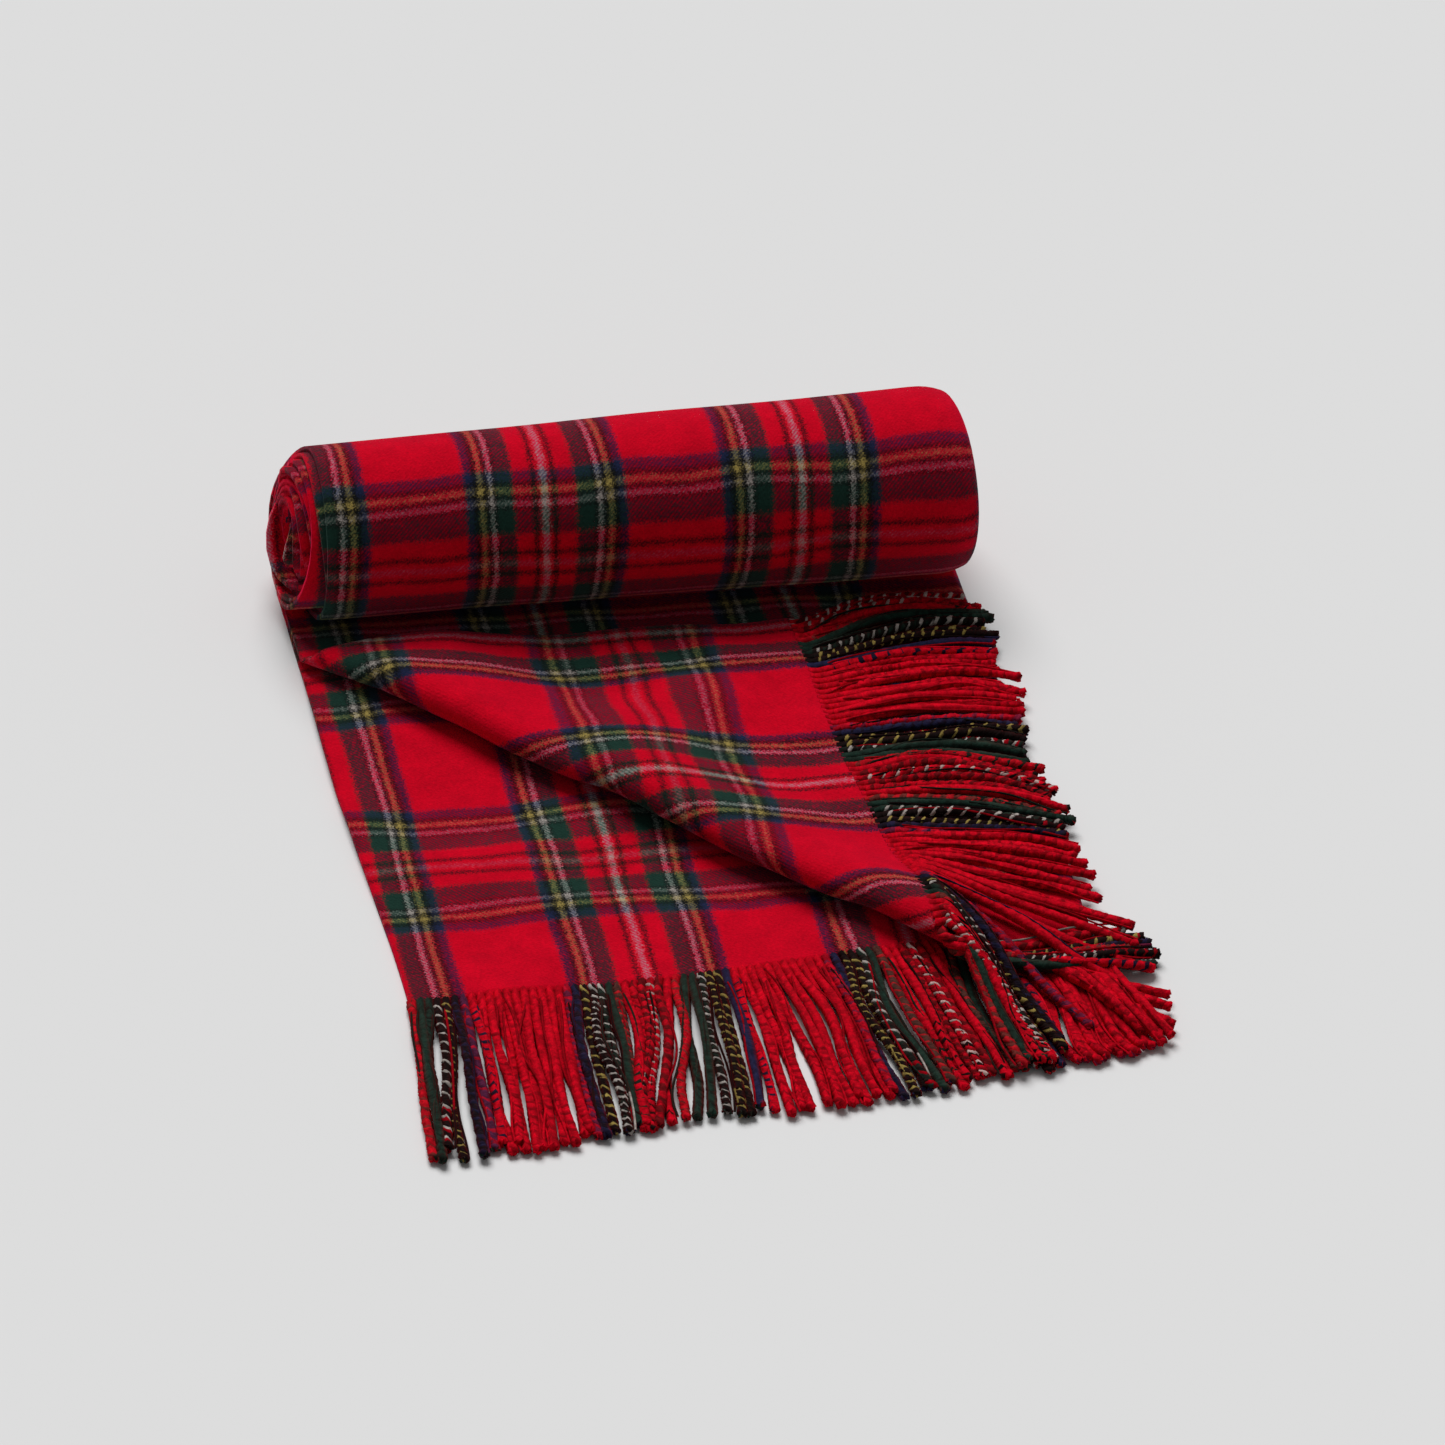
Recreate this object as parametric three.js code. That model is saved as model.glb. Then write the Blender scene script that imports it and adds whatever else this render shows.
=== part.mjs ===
// A red tartan throw, folded in half lengthwise and part rolled up.
// One napped wool cloth lies double, with its side fold at the right. Its far end is rolled towards the
// front, the near end lies flat, and the upper layer's near left corner is turned back over a diagonal.
// Units are millimetres. +X runs along the roll, +Y to the back and +Z up.
// While the pieces are made, X = 0 is the middle of the first white stripe, and Y = 0 is the line where the
// roll rests. The last lines move the finished throw so that it stands over its own origin.

import * as THREE from 'three';

// ---- Driving dimensions ----
const CLOTH = 3.3; // one layer of napped cloth as it lies
const AIR = 0.3; // space between layers that touch
const LOWER_SELVEDGE = 6; // left edge of the lower layer
const UPPER_SELVEDGE = -14; // left edge of the upper layer, which juts out a little
const SIDE_FOLD = 407; // outside of the fold that joins both layers at the right
const FLAT_LENGTH = 372; // from the roll's resting line to the start of the fringe
const ROLL_RADIUS = 56.5; // where the flat cloth starts to wind up
const CORE_RADIUS = 17; // where the cloth ends inside and its far fringe starts
const CORE_HOLE = 3; // the open middle of the roll
const CORNER_SETBACK = 54; // from the resting line to the turned-back corner's rear edge
const NOSE = 10; // how far the diagonal fold is rounded off at its front end
const FRINGE = 125; // length of a tassel
const TASSEL = 4.4; // thickness of a tassel across the fringe
const TASSEL_TIP = 3.6; // the same at its cut end
const TASSEL_PITCH = 6.2; // from one tassel to the next
const TWIST_START = 4; // woven edge that a group of tassels hangs from
const SETT = 150; // one repeat of the stripes across the cloth
const CENTRE_HALF = 17.4; // half the red band with the white line in its middle
const WIDE_RED_HALF = 28.4; // half the plain wide red band
const SPREAD_LENGTH = 55; // the last stretch of the turned-back corner's fringe spreads towards the front
const SPREAD_ANGLE = 1.15; // how far its last tassel has swung, in radians
const TURN_STEPS = 20; // straight facets in one turn of the roll

// ---- What follows from them ----
const LAYER = CLOTH + AIR; // height that each further layer adds
const FOLD_RADIUS = CLOTH + AIR / 2; // a fold wraps two layers
const LAYERS_END = SIDE_FOLD - FOLD_RADIUS - AIR; // both layers stop just short of the side fold
const DIAGONAL = UPPER_SELVEDGE - CORNER_SETBACK; // x + y on the diagonal fold line
const CORNER_HEADER = DIAGONAL + FLAT_LENGTH; // where the turned-back corner's fringe starts
const DIAGONAL_GAP = AIR * Math.SQRT2;

// ---- Colours of the yarns ----
const RED = 0xb8061a;
const DARK_GREEN = 0x17342f;
const DARK_RED = 0x6d1420;

function wool(name, colour) {
  const material = new THREE.MeshStandardMaterial({ color: colour, roughness: 0.95, metalness: 0 });
  material.name = name;
  return material;
}

function add(group, name, geometry, colour) {
  const mesh = new THREE.Mesh(geometry, wool(name, colour));
  mesh.name = name;
  group.add(mesh);
}

// A flat piece of cloth: an outline seen from above, one layer thick, at its level in the pile.
function plate(points, level) {
  const shape = new THREE.Shape(points.map(([x, y]) => new THREE.Vector2(x, y)));
  const geometry = new THREE.ExtrudeGeometry(shape, { depth: CLOTH, bevelEnabled: false });
  return geometry.translate(0, 0, level * LAYER);
}

// A shape drawn in the plane across the roll (back, up), drawn out along X between two places.
function alongRoll(points, from, to) {
  const shape = new THREE.Shape(points.map(([y, z]) => new THREE.Vector2(y, z)));
  const geometry = new THREE.ExtrudeGeometry(shape, { depth: to - from, bevelEnabled: false });
  const axes = new THREE.Matrix4().makeBasis(
    new THREE.Vector3(0, 1, 0),
    new THREE.Vector3(0, 0, 1),
    new THREE.Vector3(1, 0, 0),
  );
  return geometry.applyMatrix4(axes).translate(from, 0, 0);
}

// ---- The roll ----
// It starts at the bottom, goes up the back, over the top and down the front, and closes in by two layers
// with each turn, so that the next turn comes to rest on the flat cloth's upper layer.
const TURN_PITCH = 2 * LAYER;

function radiusAt(turns, inset) {
  return ROLL_RADIUS - inset - turns * TURN_PITCH;
}

function onRoll(turns, radius) {
  const angle = turns * 2 * Math.PI;
  return [radius * Math.sin(angle), ROLL_RADIUS - radius * Math.cos(angle)];
}

// The outline of a wound ribbon between two places on the winding.
function ribbon(startTurns, endTurns, inset, thickness) {
  const steps = Math.max(4, Math.round((endTurns - startTurns) * TURN_STEPS));
  const outer = [];
  const inner = [];
  for (let i = 0; i <= steps; i += 1) {
    const turns = startTurns + ((endTurns - startTurns) * i) / steps;
    const radius = radiusAt(turns, inset);
    outer.push(onRoll(turns, radius));
    inner.push(onRoll(turns, radius - thickness));
  }
  return outer.concat(inner.reverse());
}

const CLOTH_TURNS = (ROLL_RADIUS - CORE_RADIUS) / TURN_PITCH;
const CORE_TURNS = (ROLL_RADIUS - CORE_HOLE - TURN_PITCH) / TURN_PITCH;
const CORE_GAP_TURNS = AIR / (2 * Math.PI * CORE_RADIUS) * 2;

function addRoll(group) {
  const lower = ribbon(0, CLOTH_TURNS, 0, CLOTH);
  const upper = ribbon(0, CLOTH_TURNS, LAYER, CLOTH);
  add(group, 'rolled_lower_layer', alongRoll(lower, LOWER_SELVEDGE, LAYERS_END), RED);
  add(group, 'rolled_upper_layer', alongRoll(upper, UPPER_SELVEDGE, LAYERS_END), RED);
  const fold = ribbon(0, CLOTH_TURNS, 0, CLOTH + LAYER);
  add(group, 'rolled_side_fold', alongRoll(fold, LAYERS_END + AIR, SIDE_FOLD), RED);
  const start = CLOTH_TURNS + CORE_GAP_TURNS;
  const lowerFringe = ribbon(start, CORE_TURNS, 0, CLOTH);
  const upperFringe = ribbon(start, CORE_TURNS, LAYER, CLOTH);
  add(group, 'core_fringe_lower', alongRoll(lowerFringe, LOWER_SELVEDGE, LAYERS_END), DARK_RED);
  add(group, 'core_fringe_upper', alongRoll(upperFringe, UPPER_SELVEDGE, LAYERS_END), DARK_RED);
}

// ---- The flat cloth in front of the roll ----
function addFlatLayers(group) {
  const lower = [
    [LOWER_SELVEDGE, -AIR],
    [LOWER_SELVEDGE, -FLAT_LENGTH],
    [LAYERS_END, -FLAT_LENGTH],
    [LAYERS_END, -AIR],
  ];
  add(group, 'lower_layer', plate(lower, 0), RED);
  const upper = [
    [UPPER_SELVEDGE, -AIR],
    [UPPER_SELVEDGE, -CORNER_SETBACK + DIAGONAL_GAP],
    [CORNER_HEADER, -FLAT_LENGTH + DIAGONAL_GAP],
    [CORNER_HEADER, -FLAT_LENGTH],
    [LAYERS_END, -FLAT_LENGTH],
    [LAYERS_END, -AIR],
  ];
  add(group, 'upper_layer', plate(upper, 1), RED);
}

// The corner of the upper layer, mirrored over the diagonal. Its own fringe side now faces right.
function addTurnedCorner(group) {
  const corner = [
    [UPPER_SELVEDGE + DIAGONAL_GAP, -CORNER_SETBACK],
    [CORNER_HEADER - NOSE, DIAGONAL - CORNER_HEADER + NOSE + DIAGONAL_GAP],
    [CORNER_HEADER, DIAGONAL - CORNER_HEADER + NOSE * 1.4],
    [CORNER_HEADER, -CORNER_SETBACK],
  ];
  add(group, 'turned_back_corner', plate(corner, 2), RED);
}

// ---- The folds ----
// A fold is a half-round bead around two layers. Its flat side faces the layers' ends.
function bead(length) {
  const outline = [];
  for (let i = 0; i <= 8; i += 1) {
    const angle = -Math.PI / 2 + (i * Math.PI) / 8;
    outline.push(new THREE.Vector2(FOLD_RADIUS * Math.cos(angle), FOLD_RADIUS * Math.sin(angle)));
  }
  const geometry = new THREE.ExtrudeGeometry(new THREE.Shape(outline), { depth: length, bevelEnabled: false });
  return geometry.rotateX(Math.PI / 2); // now it runs towards -Y and its round side faces +X
}

function addFolds(group) {
  const side = bead(FLAT_LENGTH - AIR).translate(SIDE_FOLD - FOLD_RADIUS, -AIR, FOLD_RADIUS);
  add(group, 'side_fold', side, RED);
  const length = (CORNER_HEADER - NOSE - UPPER_SELVEDGE) * Math.SQRT2;
  const diagonal = bead(length)
    .rotateZ(Math.PI)
    .rotateZ(Math.PI / 4)
    .translate(CORNER_HEADER - NOSE, DIAGONAL - CORNER_HEADER + NOSE, LAYER + FOLD_RADIUS);
  add(group, 'corner_fold', diagonal, RED);
}

// ---- The fringe ----
// The warp ends are twisted into tassels, and a group of tassels belongs to each band of the stripes.
// A group is one comb: the woven edge it hangs from, and its tassels side by side.
function comb(width, length, leanStart, leanEnd) {
  const count = Math.max(1, Math.round(width / TASSEL_PITCH));
  const pitch = width / count;
  const root = Math.min(TASSEL, pitch - AIR);
  const points = [[AIR / 2, 0]];
  for (let i = 0; i < count; i += 1) {
    const middle = (i + 0.5) * pitch;
    const lean = leanStart + ((leanEnd - leanStart) * (i + 0.5)) / count;
    const tipX = middle + length * Math.sin(lean);
    const tipY = -length * Math.cos(lean);
    const left = i === 0 ? AIR / 2 : middle - root / 2;
    const right = i === count - 1 ? width - AIR / 2 : middle + root / 2;
    points.push([left, -TWIST_START], [tipX - TASSEL_TIP / 2, tipY]);
    points.push([tipX + TASSEL_TIP / 2, tipY], [right, -TWIST_START]);
  }
  points.push([width - AIR / 2, 0]);
  return points;
}

// The bands from one edge of a layer to the other, with the colour that most of a band's yarn has.
function bandsBetween(left, right) {
  const bands = [];
  for (let n = 0; n * SETT - CENTRE_HALF < right; n += 1) {
    const centre = n * SETT;
    const red = centre + SETT / 2;
    const edges = [centre - CENTRE_HALF, centre + CENTRE_HALF, red - WIDE_RED_HALF, red + WIDE_RED_HALF];
    const next = centre + SETT - CENTRE_HALF;
    bands.push({ name: `centre_${n}`, from: edges[0], to: edges[1], colour: DARK_RED });
    bands.push({ name: `first_pair_${n}`, from: edges[1], to: edges[2], colour: DARK_GREEN });
    bands.push({ name: `wide_red_${n}`, from: edges[2], to: edges[3], colour: RED });
    bands.push({ name: `second_pair_${n}`, from: edges[3], to: next, colour: DARK_GREEN });
  }
  return bands
    .map((band) => ({ ...band, from: Math.max(band.from, left), to: Math.min(band.to, right) }))
    .filter((band) => band.to - band.from > TASSEL_PITCH);
}

function addFringe(group) {
  for (const band of bandsBetween(LOWER_SELVEDGE, LAYERS_END)) {
    const points = comb(band.to - band.from, FRINGE, 0, 0);
    const placed = points.map(([x, y]) => [band.from + x, y - FLAT_LENGTH - AIR]);
    add(group, `lower_tassels_${band.name}`, plate(placed, 0), band.colour);
  }
  for (const band of bandsBetween(CORNER_HEADER, LAYERS_END)) {
    const points = comb(band.to - band.from, FRINGE, 0, 0);
    const placed = points.map(([x, y]) => [band.from + x, y - FLAT_LENGTH - AIR]);
    add(group, `upper_tassels_${band.name}`, plate(placed, 1), band.colour);
  }
  // On the turned-back corner the same edge runs from back to front, and its tassels point right.
  // Next to the diagonal fold's front end they spread towards the front, more and more.
  const cornerEnd = CORNER_HEADER - NOSE * 1.4;
  const spread = (place) => SPREAD_ANGLE * Math.max(0, 1 - (cornerEnd - place) / SPREAD_LENGTH);
  for (const band of bandsBetween(UPPER_SELVEDGE, cornerEnd)) {
    const points = comb(band.to - band.from, FRINGE, spread(band.from), spread(band.to));
    const placed = points.map(([x, y]) => [CORNER_HEADER + AIR - y, DIAGONAL - band.from - x]);
    add(group, `corner_tassels_${band.name}`, plate(placed.reverse(), 2), band.colour);
  }
}

// ---- The whole throw, over its own origin ----
const layers = new THREE.Group();
addRoll(layers);
addFlatLayers(layers);
addTurnedCorner(layers);
addFolds(layers);
addFringe(layers);

const box = new THREE.Box3().setFromObject(layers);
layers.position.set(-(box.min.x + box.max.x) / 2, -(box.min.y + box.max.y) / 2, -box.min.z);

const group = new THREE.Group();
group.add(layers);

export default group;
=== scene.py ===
import math
import random

import bmesh
import bpy
from mathutils import Matrix, Vector, noise


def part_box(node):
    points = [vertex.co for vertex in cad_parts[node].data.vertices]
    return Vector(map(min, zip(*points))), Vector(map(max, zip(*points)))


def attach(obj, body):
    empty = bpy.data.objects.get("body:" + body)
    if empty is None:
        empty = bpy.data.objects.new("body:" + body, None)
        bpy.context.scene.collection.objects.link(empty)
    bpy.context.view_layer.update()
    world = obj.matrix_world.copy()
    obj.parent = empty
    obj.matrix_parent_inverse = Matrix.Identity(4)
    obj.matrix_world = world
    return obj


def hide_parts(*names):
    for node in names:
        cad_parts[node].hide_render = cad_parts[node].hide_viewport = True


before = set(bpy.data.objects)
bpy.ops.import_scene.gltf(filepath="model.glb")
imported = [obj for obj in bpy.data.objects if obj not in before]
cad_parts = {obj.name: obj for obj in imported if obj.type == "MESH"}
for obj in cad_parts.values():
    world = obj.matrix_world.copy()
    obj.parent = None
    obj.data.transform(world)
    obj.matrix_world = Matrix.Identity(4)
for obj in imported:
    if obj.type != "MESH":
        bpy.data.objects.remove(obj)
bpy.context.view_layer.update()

# ---- Camera ----
# A long lens on a stand, in front of the throw and a little to its left, looking down on it.
# The camera is tipped a few degrees on its own axis, so that the roll climbs to the right.
CAMERA_AIM = Vector((0.0202, 0.0294, 0.040))
CAMERA_DISTANCE = 5.474
CAMERA_AZIMUTH = math.radians(14.76)
CAMERA_ELEVATION = math.radians(36.83)
CAMERA_TIP = math.radians(5.05)

ahead = Vector((
    math.sin(CAMERA_AZIMUTH) * math.cos(CAMERA_ELEVATION),
    math.cos(CAMERA_AZIMUTH) * math.cos(CAMERA_ELEVATION),
    -math.sin(CAMERA_ELEVATION),
))
level_right = ahead.cross(Vector((0, 0, 1))).normalized()
level_up = level_right.cross(ahead)
camera_right = math.cos(CAMERA_TIP) * level_right + math.sin(CAMERA_TIP) * level_up
camera_up = math.cos(CAMERA_TIP) * level_up - math.sin(CAMERA_TIP) * level_right
camera_data = bpy.data.cameras.new("camera")
camera_data.sensor_width = 36
camera_data.lens = 240.9
camera = bpy.data.objects.new("camera", camera_data)
camera.matrix_world = (
    Matrix.Translation(CAMERA_AIM - CAMERA_DISTANCE * ahead)
    @ Matrix((camera_right, camera_up, -ahead)).transposed().to_4x4()
)
bpy.context.scene.collection.objects.link(camera)
bpy.context.scene.camera = camera


# ---- Floor and light ----
# A plain pale studio floor under one wide soft light, high up and behind the roll, so that the front of
# the roll falls into shade. The room itself gives only a weak fill.
def linear(hex_colour):
    """A colour written in sRGB hex, as linear red, green, blue and alpha."""
    channels = [int(hex_colour[i:i + 2], 16) / 255 for i in (1, 3, 5)]
    return [c / 12.92 if c <= 0.04045 else ((c + 0.055) / 1.055) ** 2.4 for c in channels] + [1.0]


def node(tree, kind, settings=None, **inputs):
    """Adds one node. An input takes a value or another node's output socket, and i0 is the first input."""
    made = tree.nodes.new(kind)
    for name, value in (settings or {}).items():
        setattr(made, name, value)
    for name, value in inputs.items():
        key = int(name[1:]) if name[0] == "i" and name[1:].isdigit() else name.replace("_", " ")
        if isinstance(value, bpy.types.NodeSocket):
            tree.links.new(value, made.inputs[key])
        else:
            made.inputs[key].default_value = value
    return made


def new_material(name):
    """An empty material, and the shader that everything else in it leads to."""
    material = bpy.data.materials.new(name)
    material.use_nodes = True
    return material, material.node_tree, material.node_tree.nodes["Principled BSDF"]


def link_object(name, mesh, material):
    """Puts a mesh of one material into the scene."""
    thing = bpy.data.objects.new(name, mesh)
    mesh.materials.append(material)
    bpy.context.scene.collection.objects.link(thing)
    return thing


FLOOR_HALF_WIDTH = 6.0

# Matt painted board: no gloss, an even pale grey.
painted_board, tree, shader = new_material("painted_board")
shader.inputs["Base Color"].default_value = linear("#dcdcdc")
shader.inputs["Roughness"].default_value = 0.95
shader.inputs["Specular IOR Level"].default_value = 0.1

bm = bmesh.new()
bmesh.ops.create_grid(bm, x_segments=1, y_segments=1, size=FLOOR_HALF_WIDTH)
floor_mesh = bpy.data.meshes.new("floor")
bm.to_mesh(floor_mesh)
bm.free()
link_object("floor", floor_mesh, painted_board)

world = bpy.data.worlds.new("studio")
world.use_nodes = True
world.node_tree.nodes["Background"].inputs["Color"].default_value = linear("#ffffff")
world.node_tree.nodes["Background"].inputs["Strength"].default_value = 0.20
bpy.context.scene.world = world
# The plain view transform keeps the dyed red as deep as it is.
bpy.context.scene.view_settings.view_transform = "Standard"

overhead = bpy.data.lights.new("overhead_light", "SUN")
overhead.energy = 2.97
overhead.angle = math.radians(38)
lamp = bpy.data.objects.new("overhead_light", overhead)
lamp.rotation_euler = Vector((0.08, -0.60, -1.0)).to_track_quat("-Z", "Y").to_euler()
bpy.context.scene.collection.objects.link(lamp)

# ---- Tartan cloth ----
# One brushed wool cloth in red tartan, folded in half lengthwise with the fold at the right. Its far end is
# rolled up towards the front, the near end lies flat, and the upper layer's near left corner is turned back.
# Lengths are in millimetres: x along the roll, y to the back, z up, from the middle of the first white
# stripe on the line where the roll rests.
CLOTH = 3.2
LAYER = 3.6
FLOOR_GAP = 0.05
FIRST_LAYER_HEIGHT = CLOTH / 2 + FLOOR_GAP
FLAT_LENGTH = 372.0
SIDE_FOLD_START = 402.5
FOLD_DEPTH = LAYER / 2
ROLL_RADIUS = 56.5
OUTER_RADIUS = ROLL_RADIUS - FIRST_LAYER_HEIGHT
TURN_PITCH = 2 * LAYER
ROLL_TURNS = 5.47
# How much cloth each repeat of the stripes takes, and how far along the cloth its first white weft line lies.
SETT_ACROSS = 150.0
SETT_ALONG = 183.0
FIRST_WEFT_CENTRE = 110.5

# The lower layer's solid starts 6 mm right of the first white line and ends 0.3 mm before the resting line.
SOLID_INSET = 0.006
SOLID_GAP = 0.0003
low_corner, high_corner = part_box("lower_layer")
zero = Vector((low_corner[0] - SOLID_INSET, high_corner[1] + SOLID_GAP, 0.0))


def metres(x, y, z):
    """A place in this script's millimetres, in the frame's metres."""
    return zero + Vector((x, y, z)) * 0.001


def ease(value, start, end):
    """0 before start, 1 after end, and smooth between them."""
    t = min(1.0, max(0.0, (value - start) / (end - start)))
    return t * t * (3 - 2 * t)


def soft_wave(x, y, size, seed):
    """Smooth noise between -1 and 1, with swells of the given size."""
    return noise.noise(Vector((x / size, y / size, seed)))


def mound(x, y, centre_x, centre_y, radius):
    """1 at the centre, falling off smoothly all round."""
    return math.exp(-((x - centre_x) ** 2 + (y - centre_y) ** 2) / radius ** 2)


def lie_of_cloth(x, y):
    """How far the flat cloth lifts off the floor: low swells that die out under the roll."""
    swell = 5.0 * soft_wave(x, y, 85, 3.0) + 1.8 * soft_wave(x, y, 36, 8.0) + 2.2
    return max(0.0, swell) * ease(-y, 20, 90)


def turns_at(length):
    """The number of turns of the roll after a length of cloth, from the resting line on."""
    inner = OUTER_RADIUS ** 2 - TURN_PITCH * length / math.pi
    return (OUTER_RADIUS - math.sqrt(max(0.0, inner))) / TURN_PITCH


def roll_shift(x):
    """The roll lies a little askew: its left end has crept forward."""
    return -10 + 6 * x / 400


# Depth counts up from the middle of the lower layer. From UPPER_DEPTH on, a place is in the upper layer.
UPPER_DEPTH = 2.6


def between_layers(depth, lower_value, upper_value):
    """Blends from the lower layer's value to the upper layer's, round the side fold."""
    upper = ease(depth, 1.0, UPPER_DEPTH)
    return lower_value * (1 - upper) + upper_value * upper


def near_edge(x, depth):
    """Where the cloth ends in front, before its fringe. Neither layer's edge is quite straight."""
    lower_edge = -377 + 12 * ease(x, 110, 270)
    upper_edge = -366 - 16 * ease(x, 60, 300) + 12 * ease(x, 312, 395)
    return between_layers(depth, lower_edge, upper_edge)


def left_edge(length, depth):
    """The left selvedge: nearly straight on the flat, loose and uneven in the roll."""
    if length < FLAT_LENGTH:
        y = length - FLAT_LENGTH
        lower_edge = 7 + 8 * ease(-y, 150, 360)
        upper_edge = 7 - 14 * ease(-y, 72, 135)
        return between_layers(depth, lower_edge, upper_edge)
    n = turns_at(length - FLAT_LENGTH)
    outer_turn = 7 + 15 * ease(n, 0.2, 0.42) - 2 * math.exp(-((n - 0.15) / 0.1) ** 2)
    inner_turns = 10 + 5 * math.sin(n * 5.1 + 0.6) + 2.5 * math.sin(n * 11 + 2)
    share = ease(n, 0.9, 1.25)
    lower_edge = outer_turn * (1 - share) + inner_turns * share
    upper_edge = lower_edge - 1 + 4 * math.sin(n * 7.3 + 1)
    return between_layers(depth, lower_edge, upper_edge)


def right_edge(length):
    """Where the side fold starts: straight on the flat, and a little slanted on the roll."""
    if length < FLAT_LENGTH:
        return SIDE_FOLD_START
    n = turns_at(length - FLAT_LENGTH)
    outer_turn = SIDE_FOLD_START - 3 + 3.5 * math.cos(2 * math.pi * (n - 0.8))
    inner_turns = 398 + 1.5 * math.sin(n * 6)
    share = ease(n, 0.9, 1.3)
    return outer_turn * (1 - share) + inner_turns * share


def roll_growth(x):
    """The roll is looser, and so thicker, at its right end."""
    return 0.965 + 0.105 * x / 400


# The roll isn't a true round: each turn bulges by up to this share, and its soft right end droops.
LOOSENESS = 0.016
DROOP = 3.2
DROOP_WIDTH = 16


def rolled(x, depth, length):
    """A place on the roll. Depth is 0 on the outer layer of the pair, and one LAYER on the inner one."""
    n = turns_at(length - FLAT_LENGTH)
    angle = 2 * math.pi * n
    radius = OUTER_RADIUS - depth - TURN_PITCH * n
    grow = roll_growth(x)
    loose = noise.noise(Vector((x / 90, math.cos(angle) * 1.3, math.sin(angle) * 1.3)))
    loose = 1 + LOOSENESS * loose * ease(n, 0.02, 0.15)
    droop = DROOP * max(0.0, (x - right_edge(length) + DROOP_WIDTH) / DROOP_WIDTH) ** 2
    radius = radius * loose - droop * ease(n, 0.02, 0.2) * ease(radius, 15, 30)
    y = roll_shift(x) + grow * radius * math.sin(angle)
    return (x, y, grow * (ROLL_RADIUS - radius * math.cos(angle)))


# The turned corner. Its crease runs where x + y is CREASE, from the left end to the nose in front. A bend of
# FLAT_BEND would lie flat, and a wider one rises by BEND_RISE of the rest. Low humps lie behind it, each with
# its centre, radius and height.
CREASE = -69.5
NOSE_PLACE = 470.0
FLAT_BEND = 2.6
BEND_RISE = 0.75
HUMPS = ((196, -165, 44, 11), (95, -88, 42, 9), (262, -120, 40, 2.5))


def fold_bend(along):
    """Radius of the crease's bend: tighter at the left, open and soft at the nose."""
    return 6.6 + 2.6 * ease(along, 60, 250) + 0.8 * ease(along, 330, NOSE_PLACE)


def corner(x, y, base):
    """The upper layer, with everything beyond the diagonal turned over and laid back on itself."""
    along = (x - y) / math.sqrt(2)
    bend = fold_bend(along)
    bend_rise = BEND_RISE * (bend - FLAT_BEND)
    bend_start = CREASE + bend * math.pi / math.sqrt(2)
    beyond = (bend_start - x - y) / math.sqrt(2)
    if beyond <= 0:
        near_fold = math.exp(-(beyond / 22) ** 2)
        return (x, y, base + bend_rise * near_fold + lie_of_cloth(x, y))
    foot_x = x + beyond / math.sqrt(2)
    foot_y = y + beyond / math.sqrt(2)
    arc = math.pi * bend
    if beyond < arc:
        out = -bend * math.sin(beyond / bend)
        lift = bend * (1 - math.cos(beyond / bend))
    else:
        out = beyond - arc
        settle = 1 - ease(out, 0, 70 - 10 * ease(along, 330, NOSE_PLACE))
        lift = LAYER + (2 * bend - LAYER) * settle
    px = foot_x + out / math.sqrt(2)
    py = foot_y + out / math.sqrt(2)
    hump = sum(height * mound(px, py, hump_x, hump_y, radius) for hump_x, hump_y, radius, height in HUMPS)
    hump += 2.4 * soft_wave(px, py, 42, 5.0)
    turned = ease(beyond, 0, arc)
    rise = turned * max(0.0, hump) + bend_rise * (1 - turned)
    return (px, py, base + lift + rise + lie_of_cloth(px, py))


def flat_y(x, depth, length):
    """How far back a place on the flat cloth lies, from the near edge to the resting line."""
    share = length / FLAT_LENGTH
    return near_edge(x, depth) * (1 - share) + roll_shift(x) * share


def cloth_place(x, depth, length):
    """Where a thread lies. Length counts along the cloth from its near edge."""
    if length >= FLAT_LENGTH:
        return rolled(x, depth, length)
    base = FIRST_LAYER_HEIGHT + depth
    y = flat_y(x, depth, length)
    if depth > UPPER_DEPTH:
        return corner(x, y, base)
    return (x, y, base + lie_of_cloth(x, y))


# Columns run across the cloth from the lower selvedge over the side fold to the upper selvedge, and rows
# from the near edge into the roll. Rows lie further apart where the inner turns hide them.
LOWER_COLUMNS = 90
FOLD_COLUMNS = 6
UPPER_COLUMNS = 94
columns = LOWER_COLUMNS + FOLD_COLUMNS + UPPER_COLUMNS
FLAT_ROWS = 84
OUTER_ROWS = 60
OUTER_STEP = 6.5
INNER_STEP = 11
flat_rows = [FLAT_LENGTH * i / FLAT_ROWS for i in range(FLAT_ROWS)]
outer_rows = [FLAT_LENGTH + OUTER_STEP * i for i in range(OUTER_ROWS)]
inner_start = OUTER_STEP * OUTER_ROWS
wound = 2 * math.pi * (OUTER_RADIUS * ROLL_TURNS - TURN_PITCH * ROLL_TURNS ** 2 / 2)
inner_count = round((wound - inner_start) / INNER_STEP)
inner_step = (wound - inner_start) / inner_count
inner_rows = [FLAT_LENGTH + inner_start + inner_step * i for i in range(inner_count + 1)]
row_lengths = flat_rows + outer_rows + inner_rows


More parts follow.
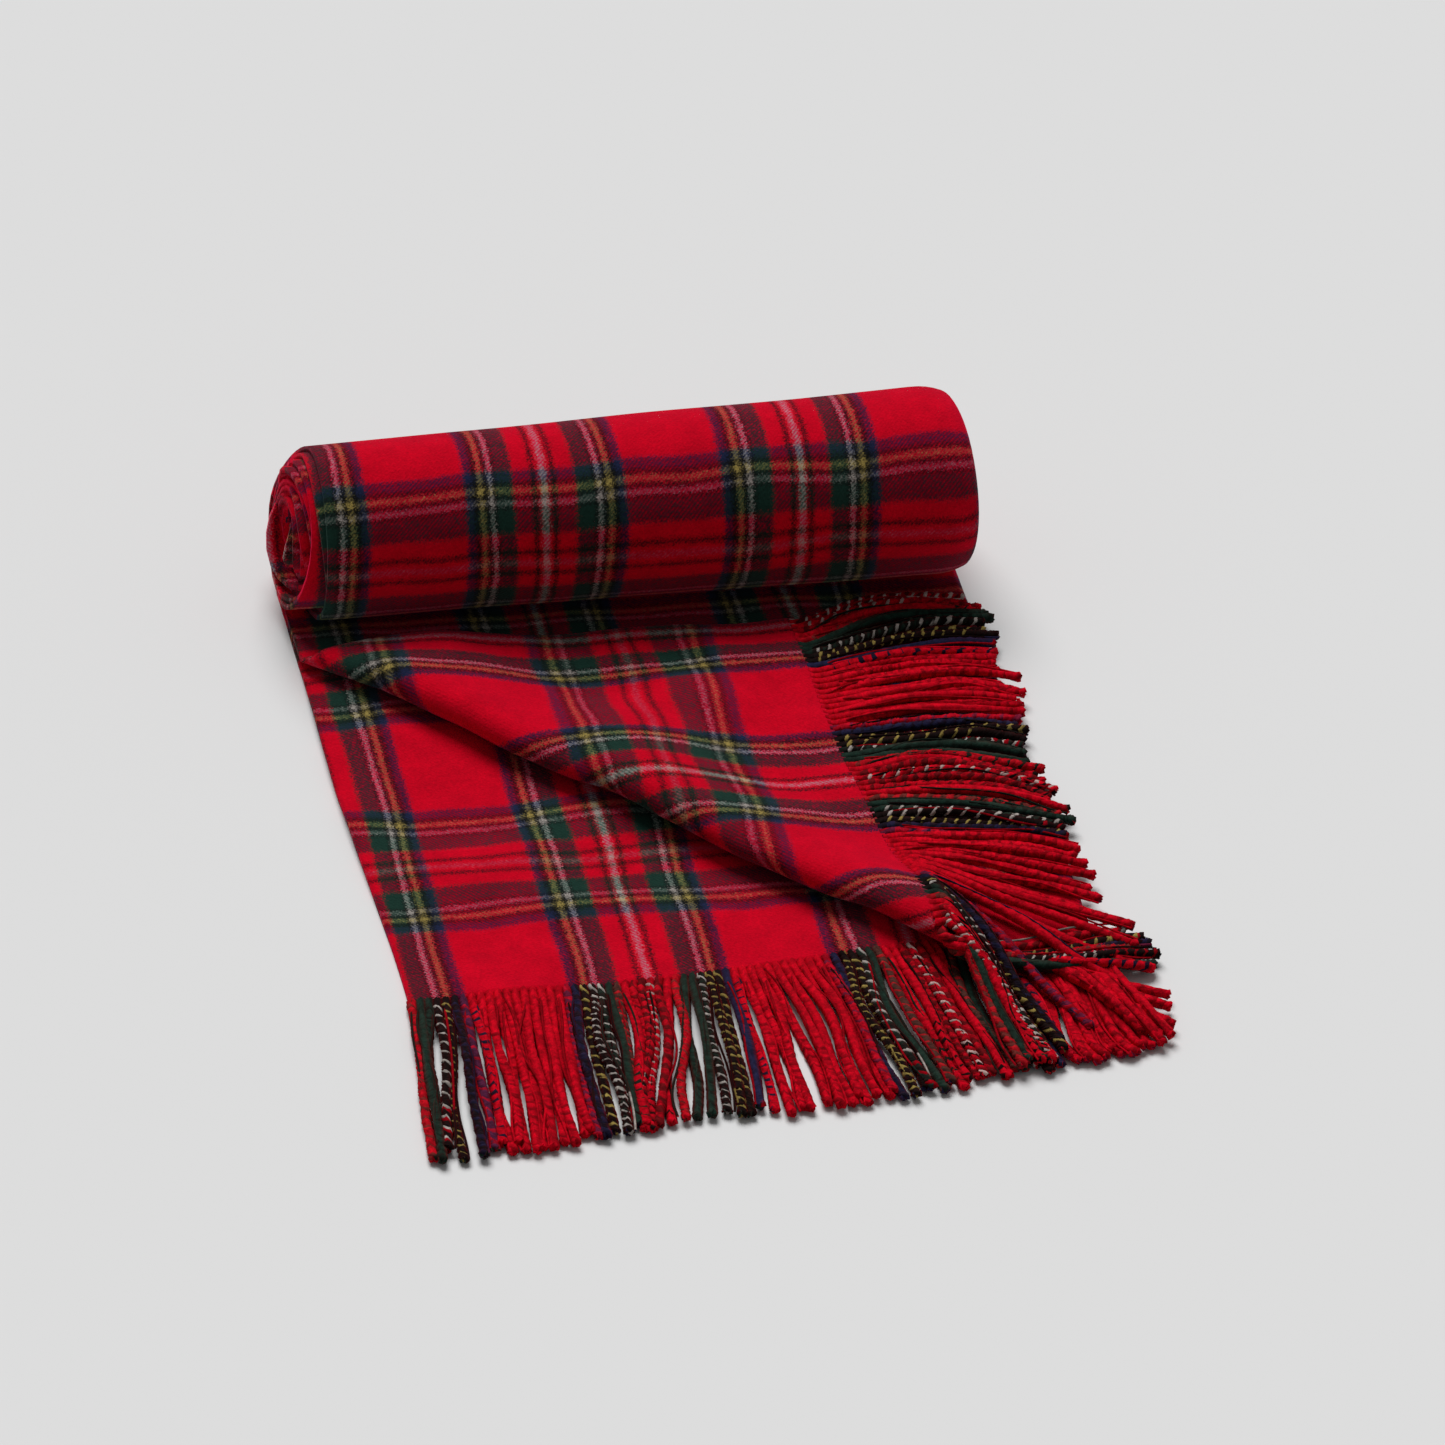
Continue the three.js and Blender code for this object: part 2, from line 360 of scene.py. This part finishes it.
def column_place(column, length):
    """x and depth of a column of threads at a row, and its place in the stripes."""
    right = right_edge(length)
    if column <= LOWER_COLUMNS:
        left = left_edge(length, 0)
        x = left + (right - left) * column / LOWER_COLUMNS
        return x, 0.0, x
    if column < LOWER_COLUMNS + FOLD_COLUMNS:
        angle = math.pi * (column - LOWER_COLUMNS) / FOLD_COLUMNS
        x = right + FOLD_DEPTH * math.sin(angle)
        round_fold = FOLD_DEPTH * (math.pi / 2 - abs(angle - math.pi / 2))
        return x, FOLD_DEPTH * (1 - math.cos(angle)), right + round_fold
    left = left_edge(length, LAYER)
    x = right + (left - right) * (column - LOWER_COLUMNS - FOLD_COLUMNS) / UPPER_COLUMNS
    return x, LAYER, x


# How far the stripes shift from the flat cloth to the roll, and how far the threads wander from straight.
ROLL_CREEP = 47
WEFT_WANDER = 3.4
WARP_WANDER = 1.8


def weft_place(x, depth, length):
    """How far along the stripes a row lies: the cloth crept as it was rolled, and its threads wander."""
    wander = WEFT_WANDER * soft_wave(x + 60 * depth, length, 46, 12.0)
    if length < FLAT_LENGTH:
        return FLAT_LENGTH + flat_y(x, depth, length) + wander
    share = ease(length, FLAT_LENGTH, FLAT_LENGTH + 110)
    return length + roll_shift(x) * (1 - share) + ROLL_CREEP * share + wander


bm = bmesh.new()
bmesh.ops.create_grid(bm, x_segments=columns, y_segments=len(row_lengths) - 1, size=0.5)
threads = bm.loops.layers.uv.new("threads")
stripe_place = {}
for vertex in bm.verts:
    column = round((vertex.co.x + 0.5) * columns)
    row = round((vertex.co.y + 0.5) * (len(row_lengths) - 1))
    length = row_lengths[row]
    x, depth, across = column_place(column, length)
    vertex.co = metres(*cloth_place(x, depth, length))
    stripe_place[vertex] = (
        (across + WARP_WANDER * soft_wave(across, length, 52, 17.0)) / SETT_ACROSS,
        (weft_place(x, depth, length) - FIRST_WEFT_CENTRE) / SETT_ALONG,
    )
for face in bm.faces:
    face.smooth = True
    for loop in face.loops:
        loop[threads].uv = stripe_place[loop.vert]
bmesh.ops.reverse_faces(bm, faces=bm.faces)
cloth_mesh = bpy.data.meshes.new("tartan_cloth")
bm.to_mesh(cloth_mesh)
bm.free()

# Brushed wool twill: dyed threads crossed two over two, with a nap that softens every stripe's edge.
# YARNS are the dyed threads. WARP and WEFT are how many ends each stripe has, from the middle of a white
# line to the middle of the next wide red.
YARNS = {
    "white": "#b5ada6",
    "dull_white": "#918a84",
    "reddened_white": "#a25a5e",
    "red": "#c3011a",
    "black": "#0e0f0e",
    "green": "#152f27",
    "yellow": "#a08c4a",
    "blue": "#19203c",
}
WARP = (
    ("white", 2), ("red", 3), ("black", 4), ("red", 13), ("green", 13), ("black", 2),
    ("white", 3), ("black", 5), ("yellow", 3), ("black", 5), ("blue", 6), ("red", 36),
)
WEFT = (
    ("reddened_white", 1.5), ("red", 3.5), ("black", 4), ("red", 9), ("green", 14), ("black", 2),
    ("dull_white", 3), ("black", 5), ("yellow", 3), ("black", 5), ("blue", 7), ("red", 38),
)
# Stripes pass into each other over EDGE_BLUR ends to each side. Threads are mixed on a steep curve, so that
# a check of light and dark threads stays dark. The nap moves a stripe's edge by 1 to 2 mm here and there.
EDGE_BLUR = 1.4
MIX_GAMMA = 3.7
NAP_REACH = 9.0


def stripes(tree, stripe_order, place):
    """The colour of one set of threads at a place that counts in repeats. The nap softens each edge."""
    there_and_back = node(tree, "ShaderNodeMath", {"operation": "PINGPONG"}, i0=place, i1=0.5)
    share = node(tree, "ShaderNodeMath", {"operation": "MULTIPLY"}, i0=there_and_back.outputs[0], i1=2.0)
    ramp = node(tree, "ShaderNodeValToRGB", None, Fac=share.outputs[0])
    stops = ramp.color_ramp.elements
    stops.remove(stops[-1])
    half = sum(count for _, count in stripe_order)
    done = 0
    stops[0].color = linear(YARNS[stripe_order[0][0]])
    for (colour, count), (next_colour, _) in zip(stripe_order, stripe_order[1:]):
        done += count
        stops.new((done - EDGE_BLUR) / half).color = linear(YARNS[colour])
        stops.new((done + EDGE_BLUR) / half).color = linear(YARNS[next_colour])
    soft = node(tree, "ShaderNodeGamma", None, Color=ramp.outputs["Color"], Gamma=1 / MIX_GAMMA)
    return soft.outputs["Color"]


tartan_wool, tree, shader = new_material("brushed_wool_twill")
where = node(tree, "ShaderNodeTexCoord").outputs["Object"]
uv = node(tree, "ShaderNodeUVMap", {"uv_map": "threads"}).outputs["UV"]
nap_blur = node(tree, "ShaderNodeTexNoise", None, Vector=where, Scale=900.0, Detail=2.0, Roughness=0.6)
blur = node(tree, "ShaderNodeVectorMath", {"operation": "SUBTRACT"}, i0=nap_blur.outputs["Color"],
            i1=(0.5, 0.5, 0.5))
blur = node(tree, "ShaderNodeVectorMath", {"operation": "MULTIPLY"}, i0=blur.outputs[0],
            i1=(NAP_REACH / SETT_ACROSS, NAP_REACH / SETT_ALONG, 0.0))
blurred = node(tree, "ShaderNodeVectorMath", {"operation": "ADD"}, i0=uv, i1=blur.outputs[0])
at = node(tree, "ShaderNodeSeparateXYZ", None, Vector=blurred.outputs[0])
warp_colour = stripes(tree, WARP, at.outputs["X"])
weft_colour = stripes(tree, WEFT, at.outputs["Y"])
# Twill lines really lie 1.6 mm apart; they are drawn 2.6 mm apart so that they still show.
TWILL_PITCH = 2.6
thread = node(tree, "ShaderNodeSeparateXYZ", None, Vector=uv)
across = node(tree, "ShaderNodeMath", {"operation": "MULTIPLY"}, i0=thread.outputs["X"],
              i1=2 * math.pi * SETT_ACROSS / TWILL_PITCH)
diagonal = node(tree, "ShaderNodeMath", {"operation": "MULTIPLY_ADD"}, i0=thread.outputs["Y"],
                i1=2 * math.pi * SETT_ALONG / TWILL_PITCH, i2=across.outputs[0])
twill = node(tree, "ShaderNodeMath", {"operation": "SINE"}, i0=diagonal.outputs[0])
# Which thread shows is mostly up to the brushed fibres' own unevenness, with the twill's slant through it.
fibres = node(tree, "ShaderNodeTexNoise", None, Vector=where, Scale=620.0, Detail=4.0, Roughness=0.65)
clumps = node(tree, "ShaderNodeTexNoise", None, Vector=where, Scale=70.0, Detail=3.0, Roughness=0.55)
fibre_share = node(tree, "ShaderNodeMath", {"operation": "MULTIPLY_ADD"}, i0=fibres.outputs["Fac"], i1=1.5,
                   i2=-0.31)
over = node(tree, "ShaderNodeMath", {"operation": "MULTIPLY_ADD"}, i0=twill.outputs[0], i1=0.13,
            i2=fibre_share.outputs[0])
crossed = node(tree, "ShaderNodeMix", {"data_type": "RGBA", "clamp_factor": True}, i0=over.outputs[0],
               i6=warp_colour, i7=weft_colour)
woven = node(tree, "ShaderNodeGamma", None, Color=crossed.outputs[2], Gamma=MIX_GAMMA)
# The nap stands in small clumps, a little lighter and darker.
shade = node(tree, "ShaderNodeMapRange", None, Value=clumps.outputs["Fac"], From_Min=0.25, From_Max=0.75,
             To_Min=0.84, To_Max=1.12)
grain = node(tree, "ShaderNodeMapRange", None, Value=fibres.outputs["Fac"], From_Min=0.2, From_Max=0.8,
             To_Min=0.7, To_Max=1.25)
tone = node(tree, "ShaderNodeMath", {"operation": "MULTIPLY"}, i0=shade.outputs[0], i1=grain.outputs[0])
coloured = node(tree, "ShaderNodeVectorMath", {"operation": "SCALE"}, i0=woven.outputs[0],
                Scale=tone.outputs[0])
tree.links.new(coloured.outputs[0], shader.inputs["Base Color"])
surface = node(tree, "ShaderNodeMath", {"operation": "MULTIPLY_ADD"}, i0=twill.outputs[0], i1=0.05,
               i2=fibres.outputs["Fac"])
bump = node(tree, "ShaderNodeBump", None, Strength=0.55, Distance=0.001, Height=surface.outputs[0])
tree.links.new(bump.outputs[0], shader.inputs["Normal"])
shader.inputs["Roughness"].default_value = 0.95
shader.inputs["Specular IOR Level"].default_value = 0.04
shader.inputs["Sheen Weight"].default_value = 0.65
shader.inputs["Sheen Roughness"].default_value = 0.5
# The raised fibres catch the light in a paler tone of their own thread.
nap_tint = node(tree, "ShaderNodeGamma", None, Color=crossed.outputs[2], Gamma=1.9)
tree.links.new(nap_tint.outputs["Color"], shader.inputs["Sheen Tint"])

cloth = link_object("tartan_cloth", cloth_mesh, tartan_wool)
thickness = cloth.modifiers.new("cloth_thickness", "SOLIDIFY")
thickness.thickness = CLOTH * 0.001
thickness.offset = 0.0
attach(cloth, "root")
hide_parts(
    "lower_layer", "upper_layer", "turned_back_corner", "rolled_lower_layer", "rolled_upper_layer",
    "rolled_side_fold", "side_fold", "corner_fold",
)

# ---- Fringe ----
# The warp ends run on past the cloth and are twisted, some six at a time, into four-strand cords with
# loose blunt tips. They lie as they fell: nearly straight in front, pointing right on the turned-back corner.
TASSEL_PITCH = 4.8
STRAND_RADIUS = 2.1
STRANDS = 4
TWIST = 7.4
ROUTE_STEPS = 126
# Thickness of a strand as a share of STRAND_RADIUS: swollen where all four are of one colour, thin if light.
PLAIN_STRAND = 1.32
MIXED_STRAND = 1.06
LIGHT_STRAND = 0.66
LOOSE_YARN = 0.35
LIGHT_YARNS = (YARNS["white"], YARNS["yellow"])


def end_colour(across):
    """The colour of the warp end at a place across the cloth."""
    half_repeat = sum(count for _, count in WARP)
    ends = abs((across / SETT_ACROSS + 0.5) % 1.0 - 0.5) * 2 * half_repeat
    for colour, count in WARP:
        if ends < count:
            return YARNS[colour]
        ends -= count
    return YARNS["red"]


# Twisted wool yarn: each cord shows its own warp ends' colours as slanting strands, with a soft fuzz.
tassel_wool, tree, shader = new_material("twisted_wool_yarn")
strand = node(tree, "ShaderNodeVertexColor", {"layer_name": "yarn"})
where = node(tree, "ShaderNodeTexCoord").outputs["Object"]
fuzz = node(tree, "ShaderNodeTexNoise", None, Vector=where, Scale=900.0, Detail=3.0, Roughness=0.6)
fuzz_tone = node(tree, "ShaderNodeMapRange", None, Value=fuzz.outputs["Fac"], From_Min=0.25, From_Max=0.75,
                 To_Min=0.62, To_Max=1.25)
patches = node(tree, "ShaderNodeTexNoise", None, Vector=where, Scale=260.0, Detail=2.0, Roughness=0.5)
patch_tone = node(tree, "ShaderNodeMapRange", None, Value=patches.outputs["Fac"], From_Min=0.35, From_Max=0.6,
                  To_Min=0.62, To_Max=1.1)
tone = node(tree, "ShaderNodeMath", {"operation": "MULTIPLY"}, i0=fuzz_tone.outputs[0],
            i1=patch_tone.outputs[0])
toned = node(tree, "ShaderNodeVectorMath", {"operation": "SCALE"}, i0=strand.outputs[0],
             Scale=tone.outputs[0])
tree.links.new(toned.outputs[0], shader.inputs["Base Color"])
bump = node(tree, "ShaderNodeBump", None, Strength=0.6, Distance=0.0005, Height=fuzz.outputs["Fac"])
tree.links.new(bump.outputs[0], shader.inputs["Normal"])
shader.inputs["Roughness"].default_value = 0.9
shader.inputs["Specular IOR Level"].default_value = 0.05
shader.inputs["Sheen Weight"].default_value = 0.12
shader.inputs["Sheen Roughness"].default_value = 0.5
shader.inputs["Sheen Tint"].default_value = linear("#ff2030")


CURVE_STEPS = 24


def smooth_route(points, count):
    """Even steps along a smooth curve through a few points, given as (x, y, z)."""
    points = [Vector(p) for p in points]
    padded = [2 * points[0] - points[1]] + points + [2 * points[-1] - points[-2]]
    fine = []
    for a, b, c, d in zip(padded, padded[1:], padded[2:], padded[3:]):
        for i in range(CURVE_STEPS):
            t = i / CURVE_STEPS
            fine.append(0.5 * (2 * b + (c - a) * t + (2 * a - 5 * b + 4 * c - d) * t * t
                               + (3 * b - a - 3 * c + d) * t ** 3))
    fine.append(points[-1])
    reach = [0.0]
    for a, b in zip(fine, fine[1:]):
        reach.append(reach[-1] + (b - a).length)
    route, k = [], 0
    for i in range(count + 1):
        want = reach[-1] * i / count
        while k < len(fine) - 2 and reach[k + 1] < want:
            k += 1
        share = (want - reach[k]) / max(1e-9, reach[k + 1] - reach[k])
        route.append(fine[k].lerp(fine[k + 1], min(1.0, share)))
    return route, reach[-1]


def directions_at(route, i):
    """Forward along a route, and to its side."""
    forward = (route[min(len(route) - 1, i + 1)] - route[max(0, i - 1)]).normalized()
    return forward, forward.cross(Vector((0, 0, 1))).normalized()


# A cord's strands run straight at first and are fully wound after TWIST_START, and they come apart over the
# last FRAYED_TIP. CORD_RADIUS is in strands' radii, and no strand's middle lies below LOWEST_STRAND.
TWIST_START = 9
FRAYED_TIP = 6
CORD_RADIUS = 1.46
LOWEST_STRAND = 1.45 * STRAND_RADIUS


def add_strand(curve, route, length, phase, twist, thickness):
    """One of a cord's strands: it runs straight out of the cloth, then winds round the others."""
    spline = curve.splines.new("POLY")
    spline.points.add(len(route) - 1)
    step = length / (len(route) - 1)
    turn = phase
    for i, point in enumerate(route):
        forward, sideways = directions_at(route, i)
        up = sideways.cross(forward)
        from_cloth = i * step
        turn += ease(from_cloth, 0, TWIST_START) * 2 * math.pi * step / twist
        plump = 1 + 0.15 * soft_wave(from_cloth, 9 * phase, 11, phase)
        frayed = 1 - ease(length - from_cloth, 0, FRAYED_TIP)
        spread = STRAND_RADIUS * ((CORD_RADIUS - thickness) * plump + 0.5 * frayed)
        place = point + spread * (math.cos(turn) * sideways + math.sin(turn) * up)
        spline.points[i].co = (*metres(place.x, place.y, max(place.z, LOWEST_STRAND)), 1.0)
        spline.points[i].radius = thickness * plump - 0.3 * frayed


def add_loose_yarn(curve, route, chance):
    """One yarn that has worked loose: thin, and wandering over its cord."""
    spline = curve.splines.new("POLY")
    spline.points.add(len(route) - 1)
    seed = chance.uniform(0, 90)
    aside = chance.uniform(-3.5, 3.5)
    for i, point in enumerate(route):
        share = i / (len(route) - 1)
        wander = 5.5 * soft_wave(70 * share, seed, 26, seed) + aside * ease(share, 0, 0.4)
        sideways = directions_at(route, i)[1]
        height = 2.6 * ease(share, 0, 0.15) * (1 - 0.6 * share) + 1.2 * soft_wave(60 * share, seed, 30, 4.0)
        place = point + wander * sideways + Vector((0, 0, height))
        spline.points[i].co = (*metres(place.x, place.y, max(place.z, STRAND_RADIUS)), 1.0)
        spline.points[i].radius = LOOSE_YARN


def add_cord(curve, across, route, length, chance):
    """Winds one cord and returns its strands' colours. At most one strand is light; it shows as dashes."""
    phase = 2 * math.pi * ((across * 0.37) % 1)
    twist = TWIST * (1 + 0.2 * math.sin(across * 1.7))
    ends = [end_colour(across + (k - 1.5) * 1.2 * TASSEL_PITCH / STRANDS) for k in range(STRANDS)]
    deep = [linear(end)[:3] for end in ends if end not in LIGHT_YARNS]
    mean = [sum(channel) / len(deep) for channel in zip(*deep)]
    first_light = next((k for k, end in enumerate(ends) if end in LIGHT_YARNS), None)
    thickness = PLAIN_STRAND if len(set(ends)) == 1 else MIXED_STRAND
    colours = []
    for k, end in enumerate(ends):
        light = k == first_light
        if end in LIGHT_YARNS and not light:
            end = YARNS["black"]
        add_strand(curve, route, length, phase + 2 * math.pi * k / STRANDS, twist,
                   LIGHT_STRAND if light else thickness)
        tone = chance.uniform(0.85, 1.15)
        own = 0.8 if light else 0.55
        mixed = [tone * (own * c + (1 - own) * m) for c, m in zip(linear(end), mean)]
        colours.append(mixed + [1.0])
    return colours


def loose_colour(across, chance):
    """A loose yarn has a neighbouring end's colour, rarely a light one; it lies half in shade, so painted
    shade halves that colour.
    """
    stray = end_colour(across + chance.uniform(-9, 9))
    if stray in LIGHT_YARNS and chance.random() < 0.8:
        stray = YARNS["red"]
    return [0.5 * channel for channel in linear(stray)[:3]] + [1.0]


def tassel_piece(name, tassels, replaced, loose_yarns=True):
    """A band's tassels as one piece. Each tassel is its place across the cloth and its route's points."""
    chance = random.Random(len(tassels))
    curve = bpy.data.curves.new(name, "CURVE")
    curve.dimensions = "3D"
    curve.bevel_depth = STRAND_RADIUS * 0.001
    curve.bevel_resolution = 0
    curve.use_fill_caps = True
    colours = []
    for across, points in tassels:
        route, length = smooth_route(points, ROUTE_STEPS)
        colours += add_cord(curve, across, route, length, chance)
        if loose_yarns:
            add_loose_yarn(curve, route, chance)
            colours.append(loose_colour(across, chance))
    holder = bpy.data.objects.new("winding", curve)
    mesh = bpy.data.meshes.new_from_object(holder)
    mesh.name = name
    bpy.data.objects.remove(holder)
    bpy.data.curves.remove(curve)
    mesh.materials.clear()
    attribute = mesh.color_attributes.new("yarn", "FLOAT_COLOR", "POINT")
    per_strand = len(mesh.vertices) // len(colours)
    for i in range(len(mesh.vertices)):
        attribute.data[i].color = colours[i // per_strand]
    for face in mesh.polygons:
        face.use_smooth = True
    piece = link_object(name, mesh, tassel_wool)
    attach(piece, "root")
    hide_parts(*replaced)
    return piece


def along_list(value, table):
    """Reads values between the rows of a short list of (place, values...)."""
    if value <= table[0][0]:
        return table[0][1:]
    for before, after in zip(table, table[1:]):
        if value <= after[0]:
            t = (value - before[0]) / (after[0] - before[0])
            return tuple(a + (b - a) * t for a, b in zip(before[1:], after[1:]))
    return table[-1][1:]


# The colour bands of each repeat, from left to right: where each one ends, and its material slot.
FIRST_BAND_START = -17.4
BANDS = (
    ("centre", 17.4, "mixed_red_tassels"), ("first_pair", 46.6, "green_black_tassels"),
    ("wide_red", 103.4, "red_tassels"), ("second_pair", 132.6, "green_black_tassels"),
)


def band_of(across):
    """The band a tassel belongs to, with the number of its repeat, and that band's material slot."""
    repeat = math.floor((across - FIRST_BAND_START) / SETT_ACROSS)
    within = across - repeat * SETT_ACROSS
    for name, end, slot in BANDS:
        if within < end:
            break
    return f"{name}_{repeat}", slot


def fringe(prefix, node_prefix, left, right, route_of, seed):
    """All tassels of one edge, band by band, each band as one piece."""
    chance = random.Random(seed)
    count = round((right - left) / TASSEL_PITCH)
    bands = {}
    for i in range(count):
        across = left + (right - left) * (i + 0.5) / count
        bands.setdefault(band_of(across), []).append((across, route_of(across, i, chance)))
    made = []
    for (band, slot), tassels in bands.items():
        node_name = f"{node_prefix}_{band}"
        replaced = [node_name] if node_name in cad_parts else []
        made.append(tassel_piece(f"{prefix}_{band}", tassels, replaced))
    return made


# The front fringe, on the near edge of the lower layer. A few tassels at the left lean away from the rest.
# Each table row is a place across the cloth and where its tassel's tip lies.
FRONT_TIPS = (
    (16, 4, -512), (21, 8, -511), (27, 11, -508), (34, 18, -510), (41, 34, -508), (50, 44, -508),
    (74, 66, -507), (90, 84, -504), (103, 98, -501), (118, 112, -499), (130, 120, -499),
    (140, 124, -498), (150, 126, -497), (158, 134, -497), (166, 146, -496), (182, 173, -494),
    (197, 192, -493), (205, 206, -492), (227, 238, -491), (245, 258, -488), (262, 278, -486),
    (283, 300, -482), (300, 318, -480), (326, 345, -475), (362, 382, -468), (403, 418, -462),
)
# The height of the middle of a cord that rests on the floor.
CORD_ON_FLOOR = 3.2


def front_route(across, i, chance):
    """Out from the cloth's edge and down to the floor. Every second tassel lies on its neighbours."""
    head_x, head_y, head_z = cloth_place(across, 0, 0)
    tip_x, tip_y = along_list(across, FRONT_TIPS)
    tip_x += chance.uniform(-2, 2)
    tip_y += chance.uniform(-4, 5)
    sway = 10 * soft_wave(across, 0, 42, 2.0) + chance.uniform(-2.4, 2.4)
    bend = chance.uniform(-2.4, 2.4)
    lift = 4.6 * (i % 2) * (0.4 + 0.6 * chance.random())
    lean = tip_x - head_x
    return (
        (head_x, head_y + 2, head_z + 0.5 * (i % 2)),
        (head_x + 0.1 * lean, head_y - 9, max(CORD_ON_FLOOR, head_z)),
        (head_x + 0.4 * lean + sway, head_y - 50, CORD_ON_FLOOR + lift),
        (head_x + 0.75 * lean + 0.2 * sway + bend, head_y - 90, CORD_ON_FLOOR + 0.7 * lift),
        (tip_x, tip_y, CORD_ON_FLOOR - 0.1 + 0.4 * lift),
    )


pieces_on_cloth = fringe("front_fringe", "lower_tassels", left=14, right=403, route_of=front_route, seed=11)

# The same edge of the upper layer, right of the turned-back corner. Its first tassels have swung right,
# and the others lie fanned over the front fringe.
UPPER_TIPS = (
    (304, 420, -360), (312, 427, -371), (318, 430, -384), (324, 434, -400), (330, 434, -384),
    (337, 436, -370), (343, 436, -380), (350, 434, -398), (356, 438, -420), (364, 432, -440),
    (376, 414, -452), (388, 420, -458), (403, 430, -460),
)


def upper_route(across, i, chance):
    """Out from the upper layer's edge and down over the front fringe."""
    head_x, head_y, head_z = cloth_place(across, LAYER, 0)
    tip_x, tip_y = along_list(across, UPPER_TIPS)
    tip_x += chance.uniform(-4, 4)
    tip_y += chance.uniform(-5, 5)
    lift = chance.uniform(0, 4)
    lean = tip_x - head_x
    drop = tip_y - head_y
    return (
        (head_x, head_y + 2, head_z),
        (head_x + 3, head_y - 9, head_z + 1.0),
        (head_x + 0.45 * lean, head_y + 0.5 * drop - 9, 9.6 + lift),
        (head_x + 0.75 * lean, head_y + 0.82 * drop - 4, 8.6 + 0.7 * lift),
        (tip_x, tip_y, 5.0 + 0.3 * lift),
    )


pieces_on_cloth += fringe("upper_fringe", "upper_tassels", left=305, right=402, route_of=upper_route, seed=12)

# The turned-back corner's fringe points right. From the roll to the nose its tassels lean back, then
# lie straight, and the last dark bundle hangs over the nose to the front. The last column is how far a
# tassel bows towards the back on its way.
CORNER_TIPS = (
    (-7, 408, -47, 7), (0, 409, -52, 8), (30, 412, -75, 8), (45, 413, -96, 6), (75, 415, -136, 6),
    (103, 414, -168, 2), (118, 412, -187, 1), (133, 414, -212, 6), (150, 416, -236, 14),
    (167, 416, -256, 6), (182, 415, -270, 0), (200, 417, -287, 1), (212, 418, -308, 2),
    (222, 420, -330, 1), (230, 424, -350, 0), (237, 430, -370, -2), (242, 430, -388, -4),
    (247, 422, -408, -5), (252, 400, -432, -2), (256, 374, -456, 5), (264, 362, -464, 8),
    (274, 353, -470, 8), (283, 346, -473, 8), (304, 356, -468, 6),
)


def corner_route(across, i, chance):
    """Out from the turned edge over the cloth below. Past the nose the tassels swing down to the front."""
    head_x, head_y, head_z = cloth_place(across, LAYER, 0)
    tip_x, tip_y, bow = along_list(across, CORNER_TIPS)
    tip_x += chance.uniform(-10, 4)
    tip_y += chance.uniform(-3, 3)
    swing = ease(across, 236, 262)
    sway = 4 * soft_wave(across, 0, 21, 6.0) + chance.uniform(-1, 1)
    lift = 4.5 * chance.random() * (1 if i % 2 else 0.3)
    lean = tip_x - head_x
    drop = tip_y - head_y
    return (
        (head_x - 2, head_y, head_z),
        (head_x + 8, head_y - 4 * swing, head_z + 0.6),
        (head_x + (0.42 + 0.1 * swing) * lean, head_y + 0.38 * drop + bow + sway, 11.2 + lift + 9 * swing),
        (head_x + 0.74 * lean, head_y + 0.72 * drop + 0.7 * bow - 0.6 * sway, 10.8 + 0.7 * lift),
        (tip_x, tip_y, 8.2),
    )


pieces_on_cloth += fringe(
    "corner_fringe", "corner_tassels", left=-6, right=304, route_of=corner_route, seed=13,
)

# The far fringe ends up inside the roll, wound round its open middle. Out of sight, its tassels are fewer.
CORE_TASSELS = 46
CORE_LEFT = 9
CORE_RIGHT = 396
CORE_POINTS = 9
CORE_STEP = 0.19


def core_route(across, i, depth):
    """On along the spiral that the cloth winds, from its last turn inwards."""
    route = []
    for k in range(CORE_POINTS):
        turns = ROLL_TURNS + 0.02 + k * CORE_STEP
        radius = roll_growth(across) * (OUTER_RADIUS - depth - TURN_PITCH * turns)
        angle = 2 * math.pi * turns
        route.append((
            across + 1.2 * math.sin(k + i),
            roll_shift(across) + radius * math.sin(angle),
            roll_growth(across) * ROLL_RADIUS - radius * math.cos(angle),
        ))
    return route


for layer, node_name in enumerate(("core_fringe_lower", "core_fringe_upper")):
    tassels = []
    for i in range(CORE_TASSELS):
        across = CORE_LEFT + (CORE_RIGHT - CORE_LEFT) * (i + 0.5) / CORE_TASSELS
        tassels.append((across, core_route(across, i, layer * LAYER)))
    pieces_on_cloth.append(
        tassel_piece(f"core_tassels_{layer}", tassels, [node_name], loose_yarns=False)
    )
